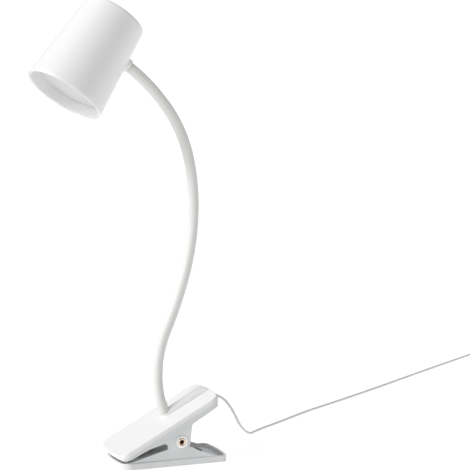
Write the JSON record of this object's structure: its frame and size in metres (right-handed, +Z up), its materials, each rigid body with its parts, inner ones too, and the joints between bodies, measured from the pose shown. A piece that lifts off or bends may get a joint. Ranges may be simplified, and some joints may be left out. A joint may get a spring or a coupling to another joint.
{
  "type": "clip-on reading lamp",
  "caption": "Clip-on reading lamp with a sprung clamp, a bendable neck, a conical shade with a light module, and a thin cord with an in-line switch and a plug-in driver.",
  "frame": {"origin": "centre of the lower jaw's flat underside, straight below the clamp's hinge axis", "axes": "+Z up, the clamp's nose and the shade towards -X, the clamp's tail and the cord towards +X"},
  "size_m": [0.6418, 0.3752, 0.38],
  "materials": {
    "white_plastic": "fine satin moulding",
    "grey_plastic": "fine satin moulding",
    "pad_rubber": "matte",
    "brass": "bright",
    "bright_steel": "bright",
    "steel": "plain",
    "lead_sheath": "soft sheath",
    "cord_rubber": "soft",
    "white_metal": "satin white powder coat",
    "reflector": "satin",
    "diffuser": "frosted",
    "board_white": "solder mask",
    "led_yellow": "phosphor",
    "heat_sink": "plain",
    "cord": "soft",
    "gloss_white": "satin",
    "rocker_white": "satin",
    "plated_brass": "nickel plate",
    "board_green": "solder mask",
    "neck_white": "soft sleeve",
    "neck_steel": "wound strip"
  },
  "bodies": {
    "upper_jaw": {"cover": "white_plastic", "cover_screws": "steel", "upper_frame": "grey_plastic", "upper_pad": "pad_rubber", "pivot_rivet": "brass", "pivot_washers": "bright_steel", "jaw_spring": "steel", "neck_nut": "steel", "neck_ferrule": "steel", "clip_lead": "lead_sheath", "cord_grommet": "cord_rubber", "neck_sleeve_1": "neck_white", "neck_core_1": "neck_steel", "neck_lead_1": "lead_sheath", "cord_run": "cord", "cord_link": "cord", "cord_coil": "cord", "cord_tail": "cord", "switch_base": "gloss_white", "switch_cover": "gloss_white", "plug_relief": "cord_rubber", "plug_shell": "gloss_white", "plug_front": "gloss_white", "plug_pins": "plated_brass", "driver_board": "board_green"},
    "lower_jaw": {"lower_jaw": "grey_plastic", "lower_pad": "pad_rubber"},
    "neck_2": {"neck_sleeve_2": "neck_white", "neck_core_2": "neck_steel", "neck_lead_2": "lead_sheath"},
    "neck_3": {"neck_sleeve_3": "neck_white", "neck_core_3": "neck_steel", "neck_lead_3": "lead_sheath"},
    "neck_4": {"neck_sleeve_4": "neck_white", "neck_core_4": "neck_steel", "neck_lead_4": "lead_sheath"},
    "neck_5": {"neck_sleeve_5": "neck_white", "neck_core_5": "neck_steel", "neck_lead_5": "lead_sheath"},
    "neck_6": {"neck_sleeve_6": "neck_white", "neck_core_6": "neck_steel", "neck_lead_6": "lead_sheath"},
    "head": {"neck_sleeve_7": "neck_white", "neck_core_7": "neck_steel", "neck_lead_7": "lead_sheath", "head_collar": "white_metal", "head_ferrule": "steel", "head_nut": "steel", "head_bracket": "steel", "bracket_screws": "steel", "shade": "white_metal", "shade_liner": "reflector", "diffuser": "diffuser", "led_board": "board_white", "led_chips": "led_yellow", "board_screws": "steel", "heat_sink": "heat_sink", "head_leads": "lead_sheath"},
    "rocker": {"switch_rocker": "rocker_white"}
  },
  "joints": [
    {"name": "jaw_hinge", "type": "hinge", "parent": "upper_jaw", "child": "lower_jaw", "pos_m": [0, 0, 0.02], "axis": [0, -1, 0], "range_deg": [0, 40], "stiffness_Nm_per_rad": 0.3, "springref_deg": -40.11, "deforming": ["jaw_spring"]},
    {"name": "neck_bend_1", "type": "hinge", "parent": "upper_jaw", "child": "neck_2", "pos_m": [-0.01106, 0.00073, 0.06159], "axis": [0.9901, 0.1268, 0.0604], "range_deg": [-30, 30]},
    {"name": "neck_bend_2", "type": "hinge", "parent": "neck_2", "child": "neck_3", "pos_m": [-0.00182, 0.00493, 0.10793], "axis": [-0.1229, 0.9903, -0.0653], "range_deg": [-30, 30]},
    {"name": "neck_bend_3", "type": "hinge", "parent": "neck_3", "child": "neck_4", "pos_m": [0.01617, 0.01008, 0.15208], "axis": [0.9446, 0.0965, -0.3138], "range_deg": [-30, 30]},
    {"name": "neck_bend_4", "type": "hinge", "parent": "neck_4", "child": "neck_5", "pos_m": [0.0255, 0.01432, 0.19887], "axis": [-0.1229, 0.9903, -0.0653], "range_deg": [-30, 30]},
    {"name": "neck_bend_5", "type": "hinge", "parent": "neck_5", "child": "neck_6", "pos_m": [0.02303, 0.01716, 0.24657], "axis": [0.9751, 0.1327, 0.1779], "range_deg": [-30, 30]},
    {"name": "neck_bend_6", "type": "hinge", "parent": "neck_6", "child": "head", "pos_m": [0.00402, 0.01768, 0.2902], "axis": [-0.1229, 0.9903, -0.0653], "range_deg": [-30, 30]},
    {"name": "switch_press", "type": "hinge", "parent": "upper_jaw", "child": "rocker", "pos_m": [0.51, 0.278, 0.0106], "axis": [-1, 0, 0], "range_deg": [0, 16]}
  ]
}
